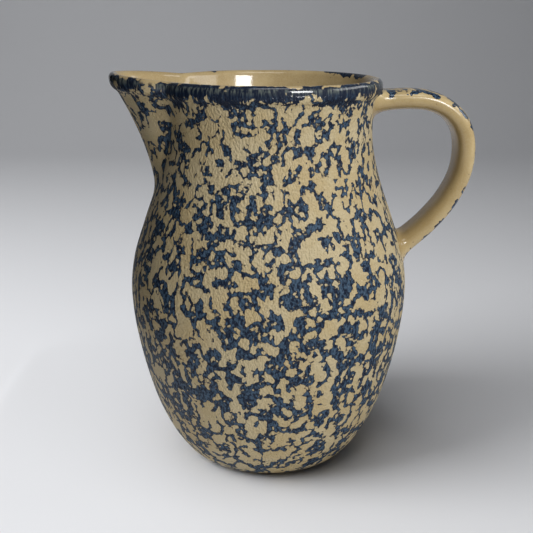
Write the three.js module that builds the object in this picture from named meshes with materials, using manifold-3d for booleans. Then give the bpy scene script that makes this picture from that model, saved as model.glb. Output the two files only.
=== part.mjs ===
// A stoneware pitcher: a thrown vessel on a slab base, with a rolled rim, a luted pouring spout
// and a strap handle. Millimetres, +Z up, origin on the table under the vessel's axis.
// The spout points along -X and the handle along +X.
import * as THREE from 'three';
import { mergeVertices } from 'three/addons/utils/BufferGeometryUtils.js';
import Module from 'manifold-3d';

const wasm = await Module();
wasm.setup();

// ---- driving dimensions ----
const HEIGHT = 248; // crest of the rim above the table
const FOOT_RADIUS = 50;
const BELLY_RADIUS = 89.4;
const NECK_RADIUS = 64.8;
const WALL = 5.6; // clay thickness of the neck and belly
const HEEL_WALL = 8; // clay thickness where the wall stands on the base
const HEEL_TOP = 30; // height where the wall has thinned to its usual thickness
const FLOOR_TOP = 8; // upper face of the base slab
const FOOT_EDGE = 1.2; // the softened edge round the foot
const SLIP = 0.3; // the line of slip between two pieces that are luted together
const RIM_BOTTOM = 237; // where the rolled rim sits on the neck
const RIM_RADIUS = 70.3; // widest part of the roll
const CREST_RADIUS = 67;

const SPOUT_ROOT = 173; // height where the spout starts to leave the neck
const SPOUT_REACH = 28.8; // how far the pouring lip stands out from the neck
const SPOUT_LIFT = 3.5; // how far the lip rises above the rim
const SPOUT_START = 0.2; // share of the spout's height over which the throat curves outwards
const SPOUT_FULLNESS = 0.77; // how far its front stands forward of a straight rise
const ROOT_ANGLE = THREE.MathUtils.degToRad(11); // half the angle that the spout spans at its root
const LIP_ANGLE = THREE.MathUtils.degToRad(33.3); // and at the lip
const SPOUT_POWER = 1.7; // plan shape of the spout: 1 is a sharp V, 2 a round U
const CREASE = 5; // softness of the crease between spout and neck
const SPREAD_POWER = 1.1; // how the spanned angle grows up the spout: 1 is evenly
const SEAM_DROP = 8; // the spout's piece starts this far below its root
const SEAM_SPREAD = 1.26; // and spans this much more than the spout itself

const STRAP_WIDTH = 28;
const STRAP_THICK = 12.4;
const STRAP_POWER = 2.7; // strap section: 2 is an ellipse, more is squarer
const LUTING = 7; // how far the clay that lutes each end spreads over the wall
const LUTING_TOP = 241.5; // it is wiped off below the rim's crest
const FLARE_EDGE = 0.7; // its thickness at its edge

// [height, radius] of the outside, from the foot to the rim
const PROFILE = [
  [0, FOOT_RADIUS], [8, 58.6], [24, 68.7], [48, 78.3], [80, 86], [112, BELLY_RADIUS], [136, 87],
  [160, 79.5], [184, 70.7], [206, 65.5], [224, NECK_RADIUS], [240, 67.7], [HEIGHT + 6, 71.5],
];
// [x, z] along the middle of the strap, from inside the neck to inside the belly
const STRAP_LINE = [
  [58, 231.4], [72, 234.2], [88, 235.1], [102, 233.2], [113.8, 226.6], [121, 216], [123.3, 202],
  [121.2, 187], [114.2, 172], [103.6, 158.4], [91.5, 147], [74, 133.5],
];
const UPPER_END = 0.13; // shares of the strap's line at which its two ends are cut
const LOWER_END = 0.87;

// ---- the vessel's outline ----
// Radius of the outside at a height: a cubic through the profile's points.
function outside(z) {
  const last = PROFILE.length - 2;
  let i = 0;
  while (i < last && z > PROFILE[i + 1][0]) i += 1;
  const [z0, r0] = PROFILE[i];
  const [z1, r1] = PROFILE[i + 1];
  const slope = (k) => {
    const [za, ra] = PROFILE[Math.max(k - 1, 0)];
    const [zb, rb] = PROFILE[Math.min(k + 1, last + 1)];
    return (rb - ra) / (zb - za);
  };
  const t = (z - z0) / (z1 - z0);
  const [m0, m1] = [slope(i) * (z1 - z0), slope(i + 1) * (z1 - z0)];
  return (2 * t ** 3 - 3 * t ** 2 + 1) * r0 + (t ** 3 - 2 * t ** 2 + t) * m0
    + (3 * t ** 2 - 2 * t ** 3) * r1 + (t ** 3 - t ** 2) * m1;
}

// Radius of the inside: the wall thickens into the heel.
function inside(z) {
  const heel = THREE.MathUtils.clamp((HEEL_TOP - z) / (HEEL_TOP - FLOOR_TOP), 0, 1);
  return outside(z) - WALL - (HEEL_WALL - WALL) * heel * heel;
}

// Points of a stretch of outline between two heights.
function stretch(radius, from, to, steps) {
  return Array.from({ length: steps + 1 }, (_, i) => {
    const z = from + (to - from) * i / steps;
    return new THREE.Vector2(radius(z), z);
  });
}

// The rolled rim's outline, from its foot outside, over the crest, to its foot inside.
function rimOutline(steps) {
  const roll = new THREE.SplineCurve([
    new THREE.Vector2(outside(RIM_BOTTOM) + 0.4, RIM_BOTTOM),
    new THREE.Vector2(RIM_RADIUS, HEIGHT - 6),
    new THREE.Vector2(RIM_RADIUS - 0.9, HEIGHT - 1.8),
    new THREE.Vector2(CREST_RADIUS, HEIGHT),
    new THREE.Vector2(CREST_RADIUS - 2.6, HEIGHT - 1.5),
    new THREE.Vector2(CREST_RADIUS - 3.9, HEIGHT - 5),
    new THREE.Vector2(inside(RIM_BOTTOM), RIM_BOTTOM),
  ]);
  return roll.getPoints(steps);
}

// ---- solids ----
function solidOf(geometry) {
  geometry.deleteAttribute('normal');
  geometry.deleteAttribute('uv');
  const merged = mergeVertices(geometry, 1e-4);
  return new wasm.Manifold(new wasm.Mesh({
    numProp: 3,
    vertProperties: new Float32Array(merged.attributes.position.array),
    triVerts: new Uint32Array(merged.index.array),
  }));
}

function geometryOf(solid) {
  const mesh = solid.getMesh();
  const places = new Float32Array(mesh.numVert * 3);
  for (let i = 0; i < mesh.numVert; i += 1) {
    places.set(mesh.vertProperties.subarray(i * mesh.numProp, i * mesh.numProp + 3), i * 3);
  }
  const geometry = new THREE.BufferGeometry();
  geometry.setAttribute('position', new THREE.BufferAttribute(places, 3));
  geometry.setIndex(new THREE.BufferAttribute(new Uint32Array(mesh.triVerts), 1));
  geometry.computeVertexNormals();
  return geometry;
}

// A closed outline in [radius, height], turned about Z.
function turned(outline, segments) {
  const closed = outline[0].x > 0 ? [...outline, outline[0].clone()] : outline;
  return new THREE.LatheGeometry(closed, segments).rotateX(Math.PI / 2);
}

// The whole outside as one filled solid, a slip line larger than the vessel.
function envelope(gap) {
  const skin = stretch(outside, 2, RIM_BOTTOM - gap, 40).map((p) => new THREE.Vector2(p.x + gap, p.y));
  const roll = rimOutline(18).slice(0, 10).map((p) => new THREE.Vector2(p.x + gap, p.y));
  return solidOf(turned([
    new THREE.Vector2(0, 2), ...skin, ...roll, new THREE.Vector2(0, HEIGHT),
  ], 96));
}

// ---- the spout ----
function spoutShare(z) {
  return (z - SPOUT_ROOT) / (HEIGHT - SPOUT_ROOT);
}

// How far the middle of the spout stands out from the neck at a height.
function ridge(z) {
  const s = Math.max(spoutShare(z), 0);
  const rise = s < SPOUT_START ? s * s / (2 * SPOUT_START) : s - SPOUT_START / 2;
  return SPOUT_REACH * (rise / (1 - SPOUT_START / 2) + SPOUT_FULLNESS * s * s * (1 - s));
}

function halfAngle(z) {
  return ROOT_ANGLE + (LIP_ANGLE - ROOT_ANGLE) * Math.max(spoutShare(z), 0) ** SPREAD_POWER;
}

// The larger of a and 0, with the corner rounded off over k.
function softened(a, k) {
  if (Math.abs(a) >= k) return Math.max(a, 0);
  return (a + k) ** 2 / (4 * k);
}

// Outline of the pulled wall at an angle from -X and a height, seen from above.
function spoutOutline(angle, z) {
  const reach = ridge(z);
  const turn = Math.abs(angle) / halfAngle(z);
  const bulge = reach > 0 ? softened(reach * (1 - turn ** SPOUT_POWER), Math.min(CREASE, 0.4 * reach)) : 0;
  const radius = outside(z) + bulge;
  return new THREE.Vector2(-radius * Math.cos(angle), radius * Math.sin(angle));
}

// Pulls the wall of the neck out into the spout, keeping its thickness.
function pulled(geometry) {
  const places = geometry.attributes.position;
  const step = 0.002;
  for (let i = 0; i < places.count; i += 1) {
    const z = places.getZ(i);
    if (z <= SPOUT_ROOT) continue;
    const angle = Math.atan2(places.getY(i), -places.getX(i));
    const depth = outside(z) - Math.hypot(places.getX(i), places.getY(i));
    const here = spoutOutline(angle, z);
    const along = spoutOutline(angle + step, z).sub(spoutOutline(angle - step, z)).normalize();
    const lift = SPOUT_LIFT * (Math.hypot(here.x, here.y) - outside(z)) / SPOUT_REACH;
    places.setXYZ(i, here.x + along.y * depth, here.y - along.x * depth, z + lift);
  }
  return geometry;
}

// The opening cut in the neck for the spout: a shield shape seen along X, out to -X only.
function spoutCutter(gap) {
  const bottom = SPOUT_ROOT - SEAM_DROP - gap;
  const edge = (z) => gap + outside(z) * Math.sin(SEAM_SPREAD * halfAngle(z));
  const side = stretch(edge, SPOUT_ROOT, HEIGHT + 20, 12);
  const shape = new THREE.Shape([new THREE.Vector2(0, HEIGHT + 20), ...side.reverse()]);
  shape.quadraticCurveTo(side.at(-1).x, bottom, 0, bottom);
  shape.quadraticCurveTo(-side.at(-1).x, bottom, -side.at(-1).x, SPOUT_ROOT);
  side.reverse().forEach((p) => shape.lineTo(-p.x, p.y));
  const cutter = new THREE.ExtrudeGeometry(shape, { depth: 120, bevelEnabled: false, curveSegments: 6 });
  cutter.rotateX(Math.PI / 2).rotateZ(-Math.PI / 2);
  return solidOf(cutter);
}

// ---- the handle ----
const strapLine = new THREE.CatmullRomCurve3(
  STRAP_LINE.map(([x, z]) => new THREE.Vector3(x, 0, z)), false, 'centripetal');

// The strap's rounded section: x is across the wide way, y across the thick way.
function strapSection(points) {
  const squared = (v, half) => Math.sign(v) * Math.abs(v) ** (2 / STRAP_POWER) * half;
  return new THREE.Shape(Array.from({ length: points }, (_, i) => {
    const turn = 2 * Math.PI * i / points;
    return new THREE.Vector2(
      squared(Math.cos(turn), STRAP_WIDTH / 2), squared(Math.sin(turn), STRAP_THICK / 2));
  }));
}

// A point of the section, set square across the strap's line at a share of its length.
function onStrap(x, y, share) {
  const along = strapLine.getTangentAt(share);
  const across = new THREE.Vector3(-along.z, 0, along.x);
  return strapLine.getPointAt(share).addScaledVector(across, y).setY(x);
}

// The section drawn out in steps, each of its points then put in place.
function drawnOut(steps, place) {
  const bar = new THREE.ExtrudeGeometry(strapSection(20), { depth: 1, steps, bevelEnabled: false });
  const places = bar.attributes.position;
  for (let i = 0; i < places.count; i += 1) {
    const at = place(places.getX(i), places.getY(i), places.getZ(i));
    places.setXYZ(i, at.x, at.y, at.z);
  }
  return bar;
}

function strap() {
  return drawnOut(26, (x, y, t) => onStrap(x, y, THREE.MathUtils.lerp(UPPER_END, LOWER_END, t)));
}

// The point of the outside nearest to a point level with it.
function ontoWall(point, proud) {
  const radius = outside(point.z) + proud;
  const reach = Math.hypot(point.x, point.y);
  return new THREE.Vector3(point.x * radius / reach, point.y * radius / reach, point.z);
}

// Where a straight line from a point first meets the outside.
function wallAlong(point, along) {
  const at = point.clone();
  for (let i = 0; i < 60; i += 1) {
    const clear = Math.hypot(at.x, at.y) - outside(at.z);
    at.addScaledVector(along, Math.max(clear, 0) * 0.6);
  }
  return at;
}

// The clay that lutes one end of the strap to the wall: each point of the section runs straight
// on and then flares out along the wall. cut is the strap's end, towards is 1 or -1 along it.
function luting(cut, towards) {
  const start = cut + towards * SLIP / strapLine.getLength();
  const along = strapLine.getTangentAt(start).multiplyScalar(towards);
  const middle = wallAlong(onStrap(0, 0, start), along);
  const inWall = 0.85; // share of the steps at which the flare has reached the wall
  const flare = drawnOut(7, (x, y, t) => {
    const from = onStrap(x, y, start);
    const corner = wallAlong(from, along);
    const spread = corner.clone().sub(middle).normalize().multiplyScalar(LUTING);
    const below = corner.clone().add(spread);
    const edge = ontoWall(below.setZ(Math.min(below.z, LUTING_TOP)), SLIP + FLARE_EDGE);
    const curve = new THREE.QuadraticBezierCurve3(from, corner, edge);
    return t > inWall ? ontoWall(edge, -2) : curve.getPoint(t / inWall);
  });
  if (towards < 0) turnInsideOut(flare);
  return solidOf(flare).subtract(envelope(SLIP));
}

// Swaps the faces of a shape that was drawn out backwards.
function turnInsideOut(geometry) {
  const places = geometry.attributes.position;
  for (let i = 0; i < places.count; i += 3) {
    const [a, b] = [1, 2].map((k) => new THREE.Vector3().fromBufferAttribute(places, i + k));
    places.setXYZ(i + 1, b.x, b.y, b.z);
    places.setXYZ(i + 2, a.x, a.y, a.z);
  }
}

// ---- the pieces ----
const SEGMENTS = 72;
const baseOutline = [
  new THREE.Vector2(0, 0), new THREE.Vector2(FOOT_RADIUS - FOOT_EDGE, 0),
  new THREE.Vector2(FOOT_RADIUS + FOOT_EDGE, FOOT_EDGE + 0.3),
  ...stretch(outside, 3, FLOOR_TOP, 3), new THREE.Vector2(0, FLOOR_TOP),
];
const wallOutline = [
  ...stretch(outside, FLOOR_TOP + SLIP, RIM_BOTTOM - SLIP, 24),
  ...stretch(inside, RIM_BOTTOM - SLIP, FLOOR_TOP + SLIP, 16),
];
const belowSeam = SPOUT_ROOT - SEAM_DROP - 6;
const spoutWallOutline = [
  ...stretch(outside, belowSeam, RIM_BOTTOM - 2, 10), ...rimOutline(12),
  ...stretch(inside, RIM_BOTTOM - 2, belowSeam, 8),
];

const cutAway = spoutCutter(SLIP);
const solids = {
  base: solidOf(turned(baseOutline, SEGMENTS)),
  body: solidOf(turned(wallOutline, SEGMENTS)).subtract(cutAway),
  rim: solidOf(turned(rimOutline(12), SEGMENTS)).subtract(cutAway),
  spout: solidOf(pulled(turned(spoutWallOutline, 2 * SEGMENTS))).intersect(spoutCutter(0)),
  handle: solidOf(strap()),
  handle_upper_joint: luting(UPPER_END, -1),
  handle_lower_joint: luting(LOWER_END, 1),
};

// ---- finishes ----
const glaze = { color: 0xc4a77d, roughness: 0.25, metalness: 0 };
const finishes = {
  base: new THREE.MeshStandardMaterial({ color: 0xc9b18c, roughness: 0.85, metalness: 0 }),
  rim: new THREE.MeshStandardMaterial({ ...glaze, color: 0x2b3a5c }),
};

const pitcher = new THREE.Group();
for (const [name, solid] of Object.entries(solids)) {
  const finish = finishes[name] ?? new THREE.MeshStandardMaterial(glaze);
  const piece = new THREE.Mesh(geometryOf(solid), finish);
  piece.name = name;
  pitcher.add(piece);
}

export default pitcher;
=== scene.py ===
"""A stoneware pitcher: tan glaze sponged with cobalt blue, a blue-banded rim, a pulled spout
and a strap handle. The vessel and its handle are modelled round the CAD frame, in millimetres,
and brought to metres as each mesh is finished.
"""
import functools
import math

import bmesh
import bpy
from mathutils import Matrix, Vector, noise


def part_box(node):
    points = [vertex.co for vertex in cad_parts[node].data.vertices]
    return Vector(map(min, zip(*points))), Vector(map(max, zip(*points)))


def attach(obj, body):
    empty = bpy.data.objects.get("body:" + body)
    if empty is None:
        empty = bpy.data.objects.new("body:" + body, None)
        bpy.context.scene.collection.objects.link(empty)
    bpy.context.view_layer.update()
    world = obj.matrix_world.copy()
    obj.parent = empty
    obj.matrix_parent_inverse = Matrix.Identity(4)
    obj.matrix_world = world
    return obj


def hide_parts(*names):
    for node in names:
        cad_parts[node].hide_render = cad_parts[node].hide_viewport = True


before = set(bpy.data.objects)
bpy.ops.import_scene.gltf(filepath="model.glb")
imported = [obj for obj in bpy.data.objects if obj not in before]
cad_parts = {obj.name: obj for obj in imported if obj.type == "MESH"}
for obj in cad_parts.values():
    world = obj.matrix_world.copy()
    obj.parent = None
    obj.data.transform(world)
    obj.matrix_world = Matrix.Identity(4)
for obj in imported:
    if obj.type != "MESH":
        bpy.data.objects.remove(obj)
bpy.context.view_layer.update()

MM = 0.001


def in_mm(node):
    """The lowest and highest corner of a CAD node, in millimetres."""
    return [[value / MM for value in corner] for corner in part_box(node)]


# ---- driving dimensions, in millimetres ----
HEIGHT = in_mm("rim")[1][2]  # crest of the rim
BELLY_RADIUS = in_mm("body")[1][1]
FLOOR_TOP = in_mm("base")[1][2]  # the floor inside
STRAP_WIDTH = in_mm("handle")[1][1] - in_mm("handle")[0][1]
FOOT_RADIUS = 50
FOOT_CLEAR = 0.9  # the bare foot stands this far out of the glaze
WALL = 5.6
HEEL_WALL = 8  # the wall is thicker where it meets the floor
HEEL_TOP = 30  # height where it has thinned to its usual thickness
RIM_BOTTOM = 237
RIM_RADIUS = 70.3
CREST_RADIUS = 67

SPOUT_ROOT = 173
SPOUT_REACH = 28.8
SPOUT_LIFT = 3.5
SPOUT_START = 0.2  # share of the spout's height over which the throat curves outwards
SPOUT_FULLNESS = 0.77  # how far its front stands forward of a straight rise
ROOT_ANGLE = math.radians(11)
LIP_ANGLE = math.radians(33.3)
SPOUT_POWER = 1.7  # plan shape: 1 is a sharp V, 2 a round U
SPREAD_POWER = 1.1  # how the spanned angle grows up the spout: 1 is evenly
CREASE = 1.6  # softness of the fold between spout and neck
FOLD_RISE = 4  # how far the spout stands out where the fold is full
FOLD_WIDTH = 2.2  # how far to each side of the fold the extra blue reaches: partly gathered cobalt, partly painted shade

STRAP_THICK = 12.4
STRAP_POWER = 2.7  # 2 is an ellipse, more is squarer
UPPER_END = 0.13  # shares of the strap's line where its ends begin to spread
LOWER_END = 0.87
LUTING = 7  # how far each end spreads over the wall
LUTING_TOP = 241.5

# [height, radius] of the outside
PROFILE = (
    (0, FOOT_RADIUS), (8, 58.6), (24, 68.7), (48, 78.3), (80, 86), (112, BELLY_RADIUS), (136, 87),
    (160, 79.5), (184, 70.7), (206, 65.5), (224, 64.8), (240, 67.7), (HEIGHT + 6, 71.5),
)
# [x, z] along the middle of the strap, from inside the neck to inside the belly
STRAP_LINE = (
    (58, 231.4), (72, 234.2), (88, 235.1), (102, 233.2), (113.8, 226.6), (121, 216),
    (123.3, 202), (121.2, 187), (114.2, 172), (103.6, 158.4), (91.5, 147), (74, 133.5),
)


# ---- outlines ----
def between(low, high, share):
    return low + (high - low) * share


def clamp(value, low=0.0, high=1.0):
    return min(max(value, low), high)


@functools.cache
def outside(z):
    """Radius of the outside at a height: a cubic through the profile's points."""
    last = len(PROFILE) - 2
    i = 0
    while i < last and z > PROFILE[i + 1][0]:
        i += 1
    (z0, r0), (z1, r1) = PROFILE[i], PROFILE[i + 1]

    def slope(k):
        (za, ra), (zb, rb) = PROFILE[max(k - 1, 0)], PROFILE[min(k + 1, last + 1)]
        return (rb - ra) / (zb - za)

    t = (z - z0) / (z1 - z0)
    m0, m1 = slope(i) * (z1 - z0), slope(i + 1) * (z1 - z0)
    return ((2 * t**3 - 3 * t**2 + 1) * r0 + (t**3 - 2 * t**2 + t) * m0
            + (3 * t**2 - 2 * t**3) * r1 + (t**3 - t**2) * m1)


def inside(z):
    heel = clamp((HEEL_TOP - z) / (HEEL_TOP - FLOOR_TOP))
    return outside(z) - WALL - (HEEL_WALL - WALL) * heel * heel


def stretch(radius, start, end, steps):
    """(radius, height) points of an outline between two heights."""
    heights = [between(start, end, i / steps) for i in range(steps + 1)]
    return [Vector((radius(z), z)) for z in heights]


def spline(points, steps):
    """A smooth line through points, steps to a stretch."""
    ends = [2 * points[0] - points[1], *points, 2 * points[-1] - points[-2]]
    line = []
    for a, b, c, d in zip(ends, ends[1:], ends[2:], ends[3:]):
        for k in range(steps):
            t = k / steps
            line.append(0.5 * (2 * b + (c - a) * t + (2 * a - 5 * b + 4 * c - d) * t**2
                               + (3 * b - a - 3 * c + d) * t**3))
    return line + [points[-1]]


def rim_outline():
    """The rolled rim, from its foot outside, over the crest, to its foot inside."""
    return spline([
        Vector((outside(RIM_BOTTOM) + 0.3, RIM_BOTTOM)),
        Vector((RIM_RADIUS - 0.5, HEIGHT - 8)),
        Vector((RIM_RADIUS, HEIGHT - 4)),
        Vector((RIM_RADIUS - 1, HEIGHT - 1.2)),
        Vector((CREST_RADIUS, HEIGHT)),
        Vector((CREST_RADIUS - 2.6, HEIGHT - 1.5)),
        Vector((CREST_RADIUS - 3.9, HEIGHT - 5)),
        Vector((inside(RIM_BOTTOM), RIM_BOTTOM)),
    ], 5)


def vessel_outline():
    """From the middle of the underside, up the outside, over the rim and down to the floor."""
    heel = spline([
        Vector((FOOT_RADIUS - 3, FOOT_CLEAR)), Vector((FOOT_RADIUS - 0.8, FOOT_CLEAR + 0.1)),
        Vector((FOOT_RADIUS + 0.9, FOOT_CLEAR + 1)), Vector((outside(4), 4)),
    ], 4)
    corner = FLOOR_TOP + 9
    cove = spline([
        Vector((inside(corner), corner)), Vector((inside(corner) - 3.2, corner - 4.6)),
        Vector((inside(corner) - 9, corner - 8.1)), Vector((inside(corner) - 18, FLOOR_TOP)),
    ], 5)
    return [
        Vector((0, FOOT_CLEAR)), *heel[:-1],
        *stretch(outside, 4, RIM_BOTTOM - 1.5, 118), *rim_outline(),
        *stretch(inside, RIM_BOTTOM - 2, corner + 2, 86), *cove,
        Vector((22, FLOOR_TOP)), Vector((0, FLOOR_TOP)),
    ]


# ---- the spout ----
def spout_share(z):
    return max((z - SPOUT_ROOT) / (HEIGHT - SPOUT_ROOT), 0)


def ridge(z):
    """How far the middle of the spout stands out from the neck."""
    s = spout_share(z)
    rise = s * s / (2 * SPOUT_START) if s < SPOUT_START else s - SPOUT_START / 2
    return SPOUT_REACH * (rise / (1 - SPOUT_START / 2) + SPOUT_FULLNESS * s * s * (1 - s))


def half_angle(z):
    return between(ROOT_ANGLE, LIP_ANGLE, spout_share(z) ** SPREAD_POWER)


def softened(a, k):
    """The larger of a and 0, with the corner rounded off over k."""
    return max(a, 0) if abs(a) >= k else (a + k) ** 2 / (4 * k)


def spout_outline(angle, z):
    """The pulled wall at an angle from -X, seen from above."""
    reach = ridge(z)
    turn = abs(angle) / half_angle(z)
    radius = outside(z)
    if reach > 0:
        radius += softened(reach * (1 - turn**SPOUT_POWER), min(CREASE, 0.4 * reach))
    return Vector((-radius * math.cos(angle), radius * math.sin(angle)))


def foldedness(point):
    """1 in the fold between the spout and the neck, fading to 0 at FOLD_WIDTH from it."""
    x, y, z = point
    angle = abs(math.atan2(y, -x))
    away = abs(angle - half_angle(z)) * outside(z) / FOLD_WIDTH
    return clamp(1 - away) * clamp(ridge(z) / FOLD_RISE) if z > SPOUT_ROOT else 0


def pulled(point):
    """Where a point of the turned wall goes as the spout is pulled out of it."""
    x, y, z = point
    if z <= SPOUT_ROOT:
        return point
    angle = math.atan2(y, -x)
    depth = outside(z) - math.hypot(x, y)
    here = spout_outline(angle, z)
    step = 0.002  # radians to each side, to find which way the outline runs
    along = (spout_outline(angle + step, z) - spout_outline(angle - step, z)).normalized()
    lift = SPOUT_LIFT * (here.length - outside(z)) / SPOUT_REACH
    return Vector((here.x + along.y * depth, here.y - along.x * depth, z + lift))


# ---- meshes ----
def in_scene(name, bm, material):
    """An object from a bmesh in metres."""
    mesh = bpy.data.meshes.new(name)
    bm.to_mesh(mesh)
    bm.free()
    mesh.shade_smooth()
    mesh.materials.append(material)
    thing = bpy.data.objects.new(name, mesh)
    bpy.context.scene.collection.objects.link(thing)
    return thing


def finished(name, bm, material, slot, *nodes):
    """A piece in place of CAD nodes, from a bmesh in millimetres."""
    bmesh.ops.scale(bm, vec=(MM, MM, MM), verts=bm.verts)
    piece = in_scene(name, bm, material)
    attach(piece, "root")
    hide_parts(*nodes)
    return piece


def hand_made(point, normal):
    """Throwing and drying leave a pot a little out of true, in broad waves and small ones."""
    broad = 0.35 * noise.noise(point / 46)
    small = 0.12 * noise.noise(point / 17)
    return point + normal * (broad + small)


def vessel(material):
    """The thrown wall, rim and spout in one skin, turned about Z."""
    bm = bmesh.new()
    below_lip = bm.verts.layers.float.new("below_lip")
    fold = bm.verts.layers.float.new("fold")
    outline = vessel_outline()
    crest = max(range(len(outline)), key=lambda i: outline[i].y)
    lengths = [0.0]
    for a, b in zip(outline, outline[1:]):
        lengths.append(lengths[-1] + (b - a).length)
    chain = []
    for point, length in zip(outline, lengths):
        vert = bm.verts.new((point.x, 0, point.y))
        vert[below_lip] = lengths[crest] - length  # below the crest outside, above it inside
        chain.append(vert)
    edges = [bm.edges.new(pair) for pair in zip(chain, chain[1:])]
    bmesh.ops.spin(
        bm, geom=chain + edges, cent=(0, 0, 0), axis=(0, 0, 1), angle=2 * math.pi, steps=256,
        use_merge=True, use_duplicate=False)
    bmesh.ops.remove_doubles(bm, verts=bm.verts, dist=1e-3)
    bmesh.ops.recalc_face_normals(bm, faces=bm.faces)
    for vert in bm.verts:
        vert[fold] = foldedness(vert.co)
        vert.co = pulled(vert.co)
    bm.normal_update()
    for vert, place in [(v, hand_made(v.co, v.normal)) for v in bm.verts]:
        if place.z > FOOT_CLEAR + 1:
            vert.co = place
    return finished("vessel", bm, material, "sponged_glaze", "body", "rim", "spout")


def foot(material):
    """The bare clay slab that the glazed wall stands on, a little hollow underneath."""
    radius, height = FOOT_RADIUS - 1, FLOOR_TOP - 2
    ring, slope, hollow = 7, 2.2, 0.6
    bm = bmesh.new()
    bmesh.ops.create_cone(
        bm, cap_ends=True, segments=160, radius1=radius, radius2=radius, depth=height,
        matrix=Matrix.Translation((0, 0, height / 2)))
    bottom = [f for f in bm.faces if f.normal.z < -0.9]
    bmesh.ops.bevel(
        bm, geom=[e for f in bottom for e in f.edges], offset=0.8, segments=4, profile=0.5,
        affect="EDGES", material=-1)
    bottom = [f for f in bm.faces if f.normal.z < -0.99]
    bmesh.ops.inset_region(bm, faces=bottom, thickness=ring, depth=0)
    bmesh.ops.inset_region(bm, faces=bottom, thickness=slope, depth=-hollow)
    return finished("foot", bm, material, "bare_clay", "base")


# ---- the handle ----
class StrapLine:
    """The strap's line, walked by shares of its length."""

    def __init__(self):
        self.points = spline([Vector((x, 0, z)) for x, z in STRAP_LINE], 24)
        self.lengths = [0.0]
        for a, b in zip(self.points, self.points[1:]):
            self.lengths.append(self.lengths[-1] + (b - a).length)

    def at(self, share):
        target = clamp(share) * self.lengths[-1]
        i = 0
        while i < len(self.lengths) - 2 and self.lengths[i + 1] < target:
            i += 1
        part = (target - self.lengths[i]) / (self.lengths[i + 1] - self.lengths[i])
        return self.points[i].lerp(self.points[i + 1], part)

    def along(self, share):
        step = 0.012
        return (self.at(share + step) - self.at(share - step)).normalized()

    def set_square(self, wide, thick, share):
        """A point of the section, square across the line."""
        along = self.along(share)
        across = Vector((-along.z, 0, along.x))
        return self.at(share) + across * thick + Vector((0, wide, 0))


def onto_wall(point, proud):
    radius = outside(point.z) + proud
    scale = radius / math.hypot(point.x, point.y)
    return Vector((point.x * scale, point.y * scale, point.z))


def wall_along(point, along):
    """Where a straight line from a point first meets the outside."""
    for _ in range(60):
        clear = math.hypot(point.x, point.y) - outside(point.z)
        point = point + along * max(clear, 0) * 0.6
    return point


def spread_end(line, cut, towards, wide, thick, share):
    """An end of the strap: it runs straight on and then flares out along the wall."""
    along = line.along(cut) * towards
    start = line.set_square(wide, thick, cut)
    corner = wall_along(start, along)
    middle = wall_along(line.at(cut), along)
    edge = corner + (corner - middle).normalized() * LUTING
    edge.z = min(edge.z, LUTING_TOP)
    edge = onto_wall(edge, 0.1)
    at_wall = 0.88
    if share > at_wall:
        return edge.lerp(onto_wall(edge, -2), (share - at_wall) / (1 - at_wall))
    t = share / at_wall
    return start * (1 - t) ** 2 + corner * 2 * t * (1 - t) + edge * t**2


def handle(material):
    """The strap and its two spread ends, drawn out of one rounded section."""
    bm = bmesh.new()
    facing = bm.verts.layers.float.new("facing")
    bmesh.ops.create_cone(bm, cap_ends=False, segments=56, radius1=1, radius2=1, depth=1)
    lengthwise = [e for e in bm.edges if abs(e.verts[0].co.z - e.verts[1].co.z) > 0.5]
    bmesh.ops.subdivide_edges(bm, edges=lengthwise, cuts=179, use_grid_fill=True)
    line = StrapLine()
    end = 0.14  # share of the rings that each spread end takes

    def squared(value, half):
        return math.copysign(abs(value) ** (2 / STRAP_POWER) * half, value)

    for vert in bm.verts:
        x, y, share = vert.co.x, vert.co.y, vert.co.z + 0.5
        wide, thick = squared(x, STRAP_WIDTH / 2), squared(y, STRAP_THICK / 2)
        vert[facing] = y
        if share < end:
            place = spread_end(line, UPPER_END, -1, wide, thick, 1 - share / end)
        elif share > 1 - end:
            place = spread_end(line, LOWER_END, 1, wide, thick, (share - 1 + end) / end)
        else:
            along = (share - end) / (1 - 2 * end)
            place = line.set_square(wide, thick, between(UPPER_END, LOWER_END, along))
        vert.co = place
    bmesh.ops.recalc_face_normals(bm, faces=bm.faces)
    bm.normal_update()
    for vert, place in [(v, hand_made(v.co, v.normal)) for v in bm.verts]:
        vert.co = place
    rims = [e for e in bm.edges if e.is_boundary]
    bmesh.ops.holes_fill(bm, edges=rims, sides=0)
    bmesh.ops.recalc_face_normals(bm, faces=bm.faces)
    return finished(
        "handle_strap", bm, material, "plain_glaze",
        "handle", "handle_upper_joint", "handle_lower_joint")


# ---- materials ----
def colour(text):
    """An sRGB hex colour as the linear values that a shader takes."""
    parts = [int(text[i:i + 2], 16) / 255 for i in (1, 3, 5)]
    return (*[c / 12.92 if c <= 0.04045 else ((c + 0.055) / 1.055) ** 2.4 for c in parts], 1)


def add(tree, kind, inputs=None, out=0, **settings):
    """Adds a node with its settings, links or sets its inputs, and gives one of its outputs."""
    new = tree.nodes.new("ShaderNode" + kind)
    for name, value in settings.items():
        setattr(new, name, value)
    for key, value in (inputs or {}).items():
        if isinstance(value, bpy.types.NodeSocket):
            tree.links.new(value, new.inputs[key])
        else:
            new.inputs[key].default_value = value
    return new.outputs[out] if new.outputs else None


def new_material(name):
    material = bpy.data.materials.new(name)
    material.use_nodes = True
    tree = material.node_tree
    tree.nodes.clear()
    return material, tree


SMOOTH = {"interpolation_type": "SMOOTHSTEP"}
TAN = colour("#beae8a")
WARM_TAN = colour("#b6a176")
PALE_TAN = colour("#cfc2a0")
HONEY = colour("#c4ad7e")  # where the glaze lies thicker, on the handle and inside
TOAST = colour("#b0986a")
INNER_SHADE_BROWN = colour("#8a7348")  # painted shade on the inside of the handle, which is turned from the lamps
NAVY = colour("#0a182d")
SLATE = colour("#40566b")
BROKEN_BLUE = colour("#6f7468")
SPECK = colour("#6b5638")
BUFF = colour("#c2a883")
BROWN = colour("#a78a63")


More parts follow.
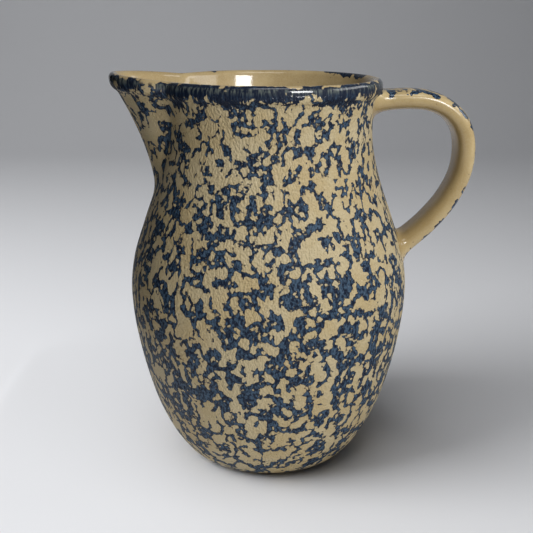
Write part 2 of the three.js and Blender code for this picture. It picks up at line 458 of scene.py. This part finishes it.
def millimetres(tree):
    place = add(tree, "TexCoord", out=3)
    return add(tree, "VectorMath", {0: place, "Scale": 1 / MM}, operation="SCALE")


def shaken(tree, place, size, amount):
    """Moves places about by up to amount, so that a pattern's edges wander."""
    shift = add(tree, "TexNoise", {"Vector": place, "Scale": 1 / size, "Detail": 1.0}, out=1)
    shift = add(tree, "VectorMath", {0: shift, 1: (0.5, 0.5, 0.5)}, operation="SUBTRACT")
    shift = add(tree, "VectorMath", {0: shift, "Scale": amount}, operation="SCALE")
    return add(tree, "VectorMath", {0: place, 1: shift}, operation="ADD")


# sizes of the patterns, in millimetres
DIMPLE = 1.15  # the real pits are about half as wide: drawn coarser so that they show
LOBE = 10.5  # upright lumps of the cut sponge: their gaps leave bands, their faces stay clean
BLOTCH = 8  # patches where the sponge was pressed harder
WISP = 8  # curving strips that the sponge's webs print
TEAR = 2.1  # ragged edges and pores
POOL = 1.5  # where the blue runs thick and thin inside a mark
DAB = 6.5  # the few marks on the handle
BRUSH = 1.5  # streaks that the brush left in the band
RAGGED = 9  # bays in the band's lower edge
STRAYED = 7  # and in its upper edge
DRIFT = 30  # warmer and paler clay
GRAIN = 0.9  # the clay's grain
SPECKLE = 6  # from one iron speck to the next
GRIT = 0.8  # the bare clay's grain

OUTSIDE_SHINE = 0.05  # weight of the shiny coat on the satin outside: inside it is 1
OUTSIDE_PEEL = 1.15  # depth that the outside's dimples add, in millimetres
FOLD_SHADE = 0.14  # how much further into a mark the fold is than the wall beside it: partly gathered cobalt, partly painted shade that darkens the crease


def sponge_marks(tree, place, dryness):
    """How far into a mark of the cut sponge a place is: above 0 there is blue.

    dryness is about 0.17 where two fifths come out blue and 0.13 where three fifths do.
    """
    wandering = shaken(tree, place, 12, 8)
    upright = add(tree, "VectorMath", {0: wandering, 1: (1, 1, 0.62)}, operation="MULTIPLY")
    lobes = add(tree, "TexVoronoi", {"Vector": upright, "Scale": 1 / LOBE},
                feature="DISTANCE_TO_EDGE")
    blotches = add(tree, "TexNoise", {"Vector": wandering, "Scale": 1 / BLOTCH, "Detail": 1.0})
    bands = add(tree, "Math", {0: lobes, 1: -0.8, 2: blotches}, operation="MULTIPLY_ADD")
    bands = add(tree, "Math", {0: bands, 1: 0.25}, operation="SUBTRACT")

    curling = add(tree, "VectorMath", {0: place, 1: (1, 1, 0.8)}, operation="MULTIPLY")
    wisps = add(tree, "TexNoise", {
        "Vector": shaken(tree, curling, 5, 4), "Scale": 1 / WISP, "Detail": 1.0})
    wisps = add(tree, "Math", {0: wisps, 1: 0.5}, operation="SUBTRACT")
    wisps = add(tree, "Math", {0: wisps}, operation="ABSOLUTE")
    wisps = add(tree, "Math", {0: 0.14, 1: wisps}, operation="SUBTRACT")

    torn = add(tree, "TexNoise", {
        "Vector": shaken(tree, place, 2.5, 1.6), "Scale": 1 / TEAR, "Detail": 1.0})
    pressed = add(tree, "Math", {0: bands, 1: wisps, 2: 0.08}, operation="SMOOTH_MIN")
    pressed = add(tree, "Math", {0: torn, 1: 0.2, 2: pressed}, operation="MULTIPLY_ADD")
    return add(tree, "Math", {0: pressed, 1: dryness}, operation="SUBTRACT")


def clay_tint(tree, place, light, warm):
    """Tan clay showing through clear glaze: warmer in drifts, and finely grained."""
    drift = add(tree, "TexNoise", {
        "Vector": place, "Scale": 1 / DRIFT, "Detail": 3.0, "Roughness": 0.6})
    drift = add(tree, "MapRange", {"Value": drift, "From Min": 0.35, "From Max": 0.65}, **SMOOTH)
    tint = add(tree, "Mix", {0: drift, 6: light, 7: warm}, out=2, data_type="RGBA")
    grain = add(tree, "TexNoise", {
        "Vector": place, "Scale": 1 / GRAIN, "Detail": 2.0, "Roughness": 0.6})
    pale = add(tree, "MapRange", {
        "Value": grain, "From Min": 0.3, "From Max": 0.8, "To Max": 0.35}, **SMOOTH)
    return add(tree, "Mix", {0: pale, 6: tint, 7: PALE_TAN}, out=2, data_type="RGBA")


def cobalt_tint(tree, place, pressed):
    """Cobalt blue: navy at the edges of a mark and in pools, slate where it is thin."""
    streaky = add(tree, "VectorMath", {0: place, 1: (1, 1, 0.6)}, operation="MULTIPLY")
    pools = add(tree, "TexNoise", {
        "Vector": streaky, "Scale": 1 / POOL, "Detail": 2.0, "Roughness": 0.6})
    thin = add(tree, "MapRange", {
        "Value": pools, "From Min": 0.4, "From Max": 0.6}, **SMOOTH)
    inner = add(tree, "MapRange", {
        "Value": pressed, "From Min": 0.008, "From Max": 0.045}, **SMOOTH)
    thin = add(tree, "Math", {0: thin, 1: inner}, operation="MULTIPLY")
    return add(tree, "Mix", {0: thin, 6: NAVY, 7: SLATE}, out=2, data_type="RGBA")


def sponged(tree, place, below):
    """Clay and sponge marks by the distance below the lip, thickest low on the belly.

    The blue also runs together along the fold beside the spout, thickened there as painted shade
    that darkens the crease.
    """
    upper = add(tree, "MapRange", {
        "Value": below, "From Min": 30.0, "From Max": 160.0, "To Min": 0.172, "To Max": 0.139},
        **SMOOTH)
    dryness = add(tree, "MapRange", {
        "Value": below, "From Min": 190.0, "From Max": 225.0, "To Max": 0.018}, **SMOOTH)
    dryness = add(tree, "Math", {0: upper, 1: dryness}, operation="ADD")
    # painted shade: more blue marks along the fold, so that the crease reads darker
    fold = add(tree, "Attribute", attribute_name="fold", out=2)
    dryness = add(tree, "Math", {0: fold, 1: -FOLD_SHADE, 2: dryness}, operation="MULTIPLY_ADD")
    pressed = sponge_marks(tree, place, dryness)
    marks = add(tree, "MapRange", {
        "Value": pressed, "From Min": -0.02, "From Max": 0.016}, **SMOOTH)
    return add(tree, "Mix", {
        0: marks, 6: clay_tint(tree, place, TAN, WARM_TAN),
        7: cobalt_tint(tree, place, pressed),
    }, out=2, data_type="RGBA")


def rim_band(tree, place, below):
    """The brushed band on the rim: where it is, and how far it breaks pale on the roll.

    Noise is 0.5 on average, so the band ends about 11 mm below the lip.
    """
    ragged = add(tree, "TexNoise", {"Vector": place, "Scale": 1 / RAGGED, "Detail": 2.0})
    drawn_down = add(tree, "VectorMath", {0: place, 1: (1, 1, 0.16)}, operation="MULTIPLY")
    streaks = add(tree, "TexNoise", {
        "Vector": drawn_down, "Scale": 1 / BRUSH, "Detail": 2.0, "Roughness": 0.6})
    low_edge = add(tree, "Math", {0: ragged, 1: 36.0, 2: below}, operation="MULTIPLY_ADD")
    low_edge = add(tree, "Math", {0: streaks, 1: 15.0, 2: low_edge}, operation="MULTIPLY_ADD")
    band = add(tree, "MapRange", {
        "Value": low_edge, "From Min": 37.4, "From Max": 36.0}, **SMOOTH)
    # the brush strayed over the crest in places, most of all beside the handle
    strayed = add(tree, "TexNoise", {"Vector": place, "Scale": 1 / STRAYED, "Detail": 2.0})
    high_edge = add(tree, "Math", {0: strayed, 1: 14.0, 2: below}, operation="MULTIPLY_ADD")
    by_handle = (52, 38, 247)
    beside = add(tree, "VectorMath", {0: place, 1: by_handle}, out=1, operation="DISTANCE")
    beside = add(tree, "MapRange", {
        "Value": beside, "From Min": 26.0, "From Max": 12.0, "To Max": 5.0}, **SMOOTH)
    high_edge = add(tree, "Math", {0: high_edge, 1: beside}, operation="ADD")
    top = add(tree, "MapRange", {"Value": high_edge, "From Min": 8.1, "From Max": 8.7}, **SMOOTH)
    band = add(tree, "Math", {0: band, 1: top}, operation="MULTIPLY")
    # a bare patch in the fold beside the spout
    in_fold = (-70, -33, 246)
    patch = add(tree, "VectorMath", {0: place, 1: in_fold}, out=1, operation="DISTANCE")
    patch = add(tree, "Math", {0: ragged, 1: 8.0, 2: patch}, operation="MULTIPLY_ADD")
    painted = add(tree, "MapRange", {"Value": patch, "From Min": 9.2, "From Max": 10.0}, **SMOOTH)
    band = add(tree, "Math", {0: band, 1: painted}, operation="MULTIPLY")
    roll = add(tree, "MapRange", {"Value": below, "From Min": 2.6, "From Max": 3.4}, **SMOOTH)
    under = add(tree, "MapRange", {"Value": below, "From Min": 7.5, "From Max": 4.4}, **SMOOTH)
    broken = add(tree, "MapRange", {
        "Value": streaks, "From Min": 0.42, "From Max": 0.7, "To Max": 0.8}, **SMOOTH)
    broken = add(tree, "Math", {0: broken, 1: roll}, operation="MULTIPLY")
    return band, streaks, add(tree, "Math", {0: broken, 1: under}, operation="MULTIPLY")


def orange_peel(tree, place, depth):
    """The dimpled skin of the fired glaze, depth in millimetres."""
    drawn_down = add(tree, "VectorMath", {0: place, 1: (1, 1, 0.7)}, operation="MULTIPLY")
    dimples = add(tree, "TexNoise", {
        "Vector": drawn_down, "Scale": 1 / DIMPLE, "Detail": 1.0, "Roughness": 0.4})
    height = add(tree, "Math", {0: dimples, 1: depth}, operation="MULTIPLY")
    return add(tree, "Bump", {"Height": height, "Distance": MM, "Strength": 1.0})


def specked(tree, place, tint):
    """Iron specks that come up through the glaze."""
    specks = add(tree, "TexVoronoi", {"Vector": place, "Scale": 1 / SPECKLE}, feature="F1")
    specks = add(tree, "MapRange", {
        "Value": specks, "From Min": 0.09, "From Max": 0.05, "To Max": 0.6}, **SMOOTH)
    return add(tree, "Mix", {0: specks, 6: tint, 7: SPECK}, out=2, data_type="RGBA")


def sponged_glaze():
    """Stoneware glaze, dipped and fired, with cobalt sponged on the outside only.

    It gives the eye ragged blue marks that crowd together down the belly, a brushed blue band
    round the rim that breaks pale on the roll, a dimpled satin outside, and a shiny tan inside.
    """
    material, tree = new_material("sponged stoneware glaze")
    place = millimetres(tree)
    below = add(tree, "Attribute", attribute_name="below_lip", out=2)
    tint = sponged(tree, place, below)
    outer = add(tree, "MapRange", {"Value": below, "From Min": 2.0, "From Max": 5.0}, **SMOOTH)
    clean = specked(tree, place, clay_tint(tree, place, HONEY, TOAST))
    tint = add(tree, "Mix", {0: outer, 6: clean, 7: tint}, out=2, data_type="RGBA")
    band, streaks, broken = rim_band(tree, place, below)
    thin = add(tree, "MapRange", {
        "Value": streaks, "From Min": 0.45, "From Max": 0.75, "To Max": 0.6}, **SMOOTH)
    blue = add(tree, "Mix", {0: thin, 6: NAVY, 7: SLATE}, out=2, data_type="RGBA")
    blue = add(tree, "Mix", {0: broken, 6: blue, 7: BROKEN_BLUE}, out=2, data_type="RGBA")
    tint = add(tree, "Mix", {0: band, 6: tint, 7: blue}, out=2, data_type="RGBA")
    satin = add(tree, "MapRange", {"Value": below, "From Min": 5.5, "From Max": 10.0}, **SMOOTH)
    shine = add(tree, "Math", {0: satin, 1: OUTSIDE_SHINE - 1, 2: 1.0}, operation="MULTIPLY_ADD")
    depth = add(tree, "Math", {0: satin, 1: OUTSIDE_PEEL, 2: 0.02}, operation="MULTIPLY_ADD")
    skin = orange_peel(tree, place, depth)
    surface = add(tree, "BsdfPrincipled", {
        "Base Color": tint, "Roughness": 0.55, "Specular IOR Level": 0.2, "Normal": skin,
        "Coat Weight": shine, "Coat Roughness": 0.09, "Coat IOR": 1.5, "Coat Normal": skin})
    add(tree, "OutputMaterial", {"Surface": surface})
    return material


def plain_glaze():
    """The same glaze left tan on the handle: shiny, with a few blue dabs on its back, and painted
    shade darkening its inner side.
    """
    material, tree = new_material("tan stoneware glaze")
    place = millimetres(tree)
    facing = add(tree, "Attribute", attribute_name="facing", out=2)
    dabs = add(tree, "TexNoise", {"Vector": shaken(tree, place, 5, 4), "Scale": 1 / DAB})
    torn = add(tree, "TexNoise", {"Vector": place, "Scale": 1 / TEAR, "Detail": 1.0})
    pressed = add(tree, "Math", {0: torn, 1: 0.26, 2: dabs}, operation="MULTIPLY_ADD")
    dryness = add(tree, "MapRange", {
        "Value": facing, "From Min": -0.1, "From Max": 0.6, "To Min": 0.95, "To Max": 0.63},
        **SMOOTH)
    pressed = add(tree, "Math", {0: pressed, 1: dryness}, operation="SUBTRACT")
    marks = add(tree, "MapRange", {
        "Value": pressed, "From Min": -0.01, "From Max": 0.01}, **SMOOTH)
    clay = specked(tree, place, clay_tint(tree, place, HONEY, TOAST))
    # painted shade: the strap's inner side, turned from the lamps, is darkened towards brown
    painted_shade = add(tree, "MapRange", {
        "Value": facing, "From Min": 0.5, "From Max": -0.4, "To Max": 0.55}, **SMOOTH)
    clay = add(tree, "Mix", {0: painted_shade, 6: clay, 7: INNER_SHADE_BROWN}, out=2, data_type="RGBA")
    tint = add(tree, "Mix", {
        0: marks, 6: clay, 7: cobalt_tint(tree, place, pressed)}, out=2, data_type="RGBA")
    surface = add(tree, "BsdfPrincipled", {
        "Base Color": tint, "Roughness": 0.2, "IOR": 1.5,
        "Normal": orange_peel(tree, place, 0.05)})
    add(tree, "OutputMaterial", {"Surface": surface})
    return material


def bare_clay():
    """Unglazed fired stoneware, wiped flat: dry, buff and finely gritty."""
    material, tree = new_material("bare stoneware")
    place = millimetres(tree)
    grit = add(tree, "TexNoise", {
        "Vector": place, "Scale": 1 / GRIT, "Detail": 3.0, "Roughness": 0.7})
    brown = add(tree, "MapRange", {"Value": grit, "From Min": 0.3, "From Max": 0.7}, **SMOOTH)
    tint = add(tree, "Mix", {0: brown, 6: BUFF, 7: BROWN}, out=2, data_type="RGBA")
    bump = add(tree, "Bump", {"Height": grit, "Distance": 0.08 * MM})
    surface = add(tree, "BsdfPrincipled", {
        "Base Color": tint, "Roughness": 0.85, "IOR": 1.5, "Normal": bump})
    add(tree, "OutputMaterial", {"Surface": surface})
    return material


# ---- the stage, in metres ----
def sweep():
    """A pale paper floor that curves up into a backdrop."""
    front, back, bend, side, top = -1.5, 1.2, 0.9, 3, 3
    bm = bmesh.new()
    turns = [math.pi / 2 * k / 24 for k in range(25)]
    curve = [(back + bend * math.sin(a), bend - bend * math.cos(a)) for a in turns]
    line = [bm.verts.new((-side, y, z)) for y, z in [(front, 0), *curve, (back + bend, top)]]
    edges = [bm.edges.new(pair) for pair in zip(line, line[1:])]
    moved = bmesh.ops.extrude_edge_only(bm, edges=edges)["geom"]
    moved = [v for v in moved if isinstance(v, bmesh.types.BMVert)]
    bmesh.ops.translate(bm, vec=(2 * side, 0, 0), verts=moved)
    # matt paper, a little cool, that takes soft shadows
    material, tree = new_material("studio paper")
    surface = add(tree, "BsdfPrincipled", {
        "Base Color": colour("#dfe0e3"), "Roughness": 0.7, "Specular IOR Level": 0.2})
    add(tree, "OutputMaterial", {"Surface": surface})
    floor = in_scene("floor", bm, material)
    return floor


def softbox(name, place, aim, size, watts, receivers):
    """An area light of a width and height, that lights the receivers only."""
    lamp = bpy.data.lights.new(name, "AREA")
    lamp.shape = "RECTANGLE"
    lamp.size, lamp.size_y = size
    lamp.energy = watts
    light = bpy.data.objects.new(name, lamp)
    light.location = place
    light.rotation_euler = (light.location - Vector(aim)).to_track_quat("Z", "Y").to_euler()
    bpy.context.scene.collection.objects.link(light)
    lit = bpy.data.collections.new("lit by the " + name)
    for receiver in receivers:
        lit.objects.link(receiver)
    light.light_linking.receiver_collection = lit


def black_card():
    """Stands unseen left of the pitcher and keeps the floor's glow off that side."""
    middle, half = (-0.21, 0, 0.16), 0.15
    bm = bmesh.new()
    upright = Matrix.Translation(middle) @ Matrix.Rotation(math.pi / 2, 4, "Y")
    bmesh.ops.create_grid(bm, x_segments=1, y_segments=1, size=half, matrix=upright)
    # velvet that gives next to no light back
    material, tree = new_material("black velvet")
    surface = add(tree, "BsdfPrincipled", {
        "Base Color": colour("#0c0c0c"), "Roughness": 0.9, "Specular IOR Level": 0.1})
    add(tree, "OutputMaterial", {"Surface": surface})
    card = in_scene("black card", bm, material)
    card.visible_camera = False
    card.visible_shadow = False


def studio(pieces):
    """Pale paper, with lamps for the pitcher and others for the paper."""
    paper = [sweep()]
    black_card()
    middle = (0, 0, 0.13)
    softbox("key softbox", (0.47, -0.72, 0.61), middle, (0.3, 0.28), 5.9, pieces)
    softbox("right softbox", (0.88, 0.06, 0.68), middle, (0.8, 0.3), 2.4, pieces)
    softbox("overhead softbox", (0.1, -0.3, 1.3), middle, (0.7, 0.3), 2.7, pieces)
    softbox("paper lamp", (-1.1, -0.4, 0.95), middle, (0.9, 0.9), 18, paper)
    softbox("paper overhead", (-0.2, -0.25, 1.0), middle, (1.0, 1.0), 7, paper)
    softbox("backdrop lamp", (-0.8, 0.9, 1.3), (-0.7, 1.9, 0.2), (0.5, 0.5), 1.5, paper)
    world = bpy.data.worlds.new("room")
    bpy.context.scene.world = world
    world.use_nodes = True
    background = world.node_tree.nodes["Background"].inputs
    background["Color"].default_value = colour("#d3d6dc")
    background["Strength"].default_value = 0.08
    bpy.context.scene.view_settings.view_transform = "Standard"


def camera():
    """An eye a little above the rim, half a metre in front of the vessel's axis."""
    distance, height, look_down, side = 520, 285.9, 17.12, -1.3
    lens = bpy.data.cameras.new("camera")
    lens.lens = 55.6
    lens.sensor_width = 36
    lens.clip_start = 0.01
    eye = bpy.data.objects.new("camera", lens)
    eye.location = Vector((side, -distance, height)) * MM
    eye.rotation_euler = (math.radians(90 - look_down), 0, 0)
    bpy.context.scene.collection.objects.link(eye)
    bpy.context.scene.camera = eye


camera()
studio([vessel(sponged_glaze()), handle(plain_glaze()), foot(bare_clay())])
